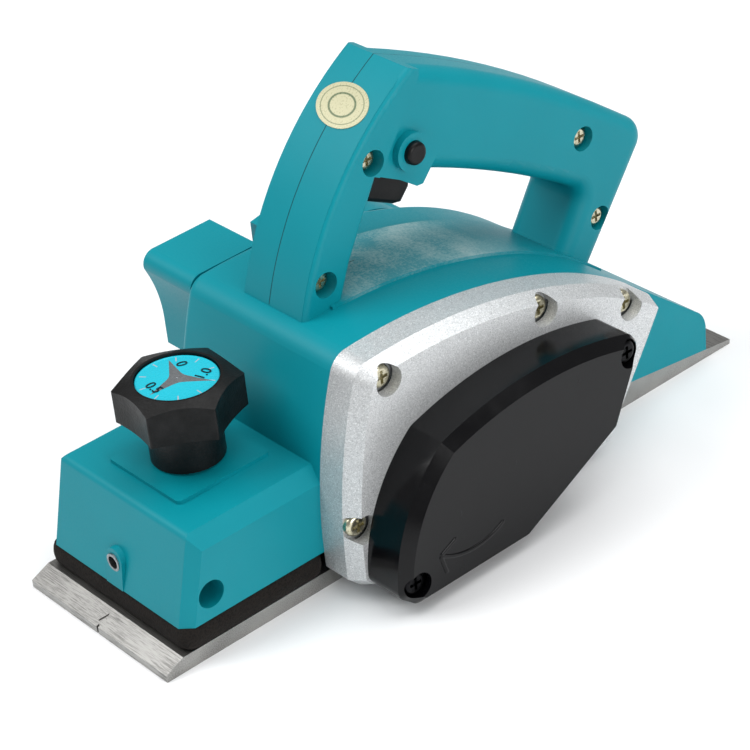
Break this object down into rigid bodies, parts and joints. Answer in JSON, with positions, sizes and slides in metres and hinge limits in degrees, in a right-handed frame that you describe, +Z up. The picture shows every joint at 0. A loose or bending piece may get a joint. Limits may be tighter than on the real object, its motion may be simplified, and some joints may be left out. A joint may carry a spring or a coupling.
{
  "type": "electric hand planer",
  "caption": "Hand-held electric power planer: belt-driven two-blade cutter drum, adjustable front shoe with depth knob, loop handle with trigger and lock button",
  "frame": {"origin": "On the sole plane, at mid length from toe to heel and mid width of the shoes", "axes": "+X across the tool towards the belt cover, +Y along the tool towards the heel, +Z up"},
  "size_m": [0.156, 0.29, 0.1695],
  "materials": {
    "body_plastic": "fine grained, satin",
    "cover_plastic": "polished",
    "bracket_alloy": "silver speckled paint",
    "shoe_alloy": "milled along the tool",
    "knob_plastic": "grained",
    "dial_face": "printed foil",
    "black_plastic": "satin",
    "foam": "open-cell foam, matte",
    "cord_rubber": "matte",
    "zinc_screw": "yellow zinc plated",
    "steel": "ground",
    "black_screw": "blackened steel",
    "drum_alloy": "turned and milled",
    "blade_steel": "ground",
    "spring_steel": "drawn wire",
    "lamination": "stacked sheet",
    "copper": "enamelled copper wire, with brass standing for copper",
    "brass": "turned",
    "carbon": "pressed graphite",
    "belt_rubber": "ribbed, matte",
    "pulley_alloy": "turned",
    "fan_plastic": "moulded",
    "label_paper": "printed foil",
    "phenolic": "moulded"
  },
  "bodies": {
    "frame": {"main_housing": "body_plastic", "handle_cover": "body_plastic", "chip_chute": "body_plastic", "motor_end_cap": "body_plastic", "side_bracket": "bracket_alloy", "belt_cover": "cover_plastic", "handle_screws": "zinc_screw", "bracket_screws": "zinc_screw", "belt_cover_screws": "black_screw", "end_cap_screws": "zinc_screw", "sole_screws": "steel", "rear_shoe": "shoe_alloy", "stem_bush": "brass", "fence_insert": "brass", "cord_inlet_bush": "cord_rubber", "oval_label": "label_paper", "switch_body": "black_plastic", "suppressor_capacitor": "phenolic", "drive_belt": "belt_rubber", "stator_core": "lamination", "stator_coils": "copper", "fan_baffle": "fan_plastic", "brush_holders": "brass", "carbon_brushes": "carbon", "brush_springs": "spring_steel", "brush_caps": "black_plastic", "near_drum_bearing": "steel", "far_drum_bearing": "steel", "motor_bearing": "steel", "tail_bearing": "steel"},
    "front_shoe": {"front_shoe": "shoe_alloy", "shoe_nut": "brass", "shoe_spring": "spring_steel", "foam_seal": "foam"},
    "depth_knob": {"depth_knob": "knob_plastic", "knob_dial": "dial_face", "knob_stem": "steel", "stem_clip": "spring_steel"},
    "trigger": {"trigger": "black_plastic", "switch_plunger": "black_plastic"},
    "lock_button": {"lock_button": "black_plastic"},
    "drum": {"cutter_drum": "drum_alloy", "drum_blades": "blade_steel", "blade_clamps": "steel", "blade_bolts": "steel", "drum_pulley": "pulley_alloy", "drum_pulley_nut": "steel"},
    "armature": {"armature_shaft": "steel", "armature_core": "lamination", "armature_windings": "copper", "commutator": "copper", "cooling_fan": "fan_plastic", "motor_pulley": "pulley_alloy"}
  },
  "joints": [
    {"name": "shoe_slide", "type": "slide", "parent": "frame", "child": "front_shoe", "axis": [0, 0, 1], "range_m": [0, 0.001], "deforming": ["shoe_spring", "foam_seal"]},
    {"name": "knob_turn", "type": "hinge", "parent": "frame", "child": "depth_knob", "pos_m": [0, -0.0952, 0.07], "axis": [0, 0, -1], "range_deg": [0, 240]},
    {"name": "trigger_pull", "type": "slide", "parent": "frame", "child": "trigger", "axis": [0, 0, 1], "range_m": [0, 0.004], "stiffness_N_per_m": 1200, "springref_m": -0.002},
    {"name": "lock_press", "type": "slide", "parent": "frame", "child": "lock_button", "axis": [-1, 0, 0], "range_m": [0, 0.003], "stiffness_N_per_m": 800, "springref_m": -0.001},
    {"name": "drum_spin", "type": "hinge", "parent": "frame", "child": "drum", "pos_m": [0, -0.036, 0.025], "axis": [1, 0, 0], "continuous": true},
    {"name": "armature_spin", "type": "hinge", "parent": "frame", "child": "armature", "pos_m": [0, 0.024, 0.046], "axis": [1, 0, 0], "continuous": true}
  ],
  "couplings": [
    {"joint": "knob_turn", "follows": "shoe_slide", "rad_per_m": 4188.8},
    {"joint": "armature_spin", "follows": "drum_spin", "ratio": 1.8}
  ]
}
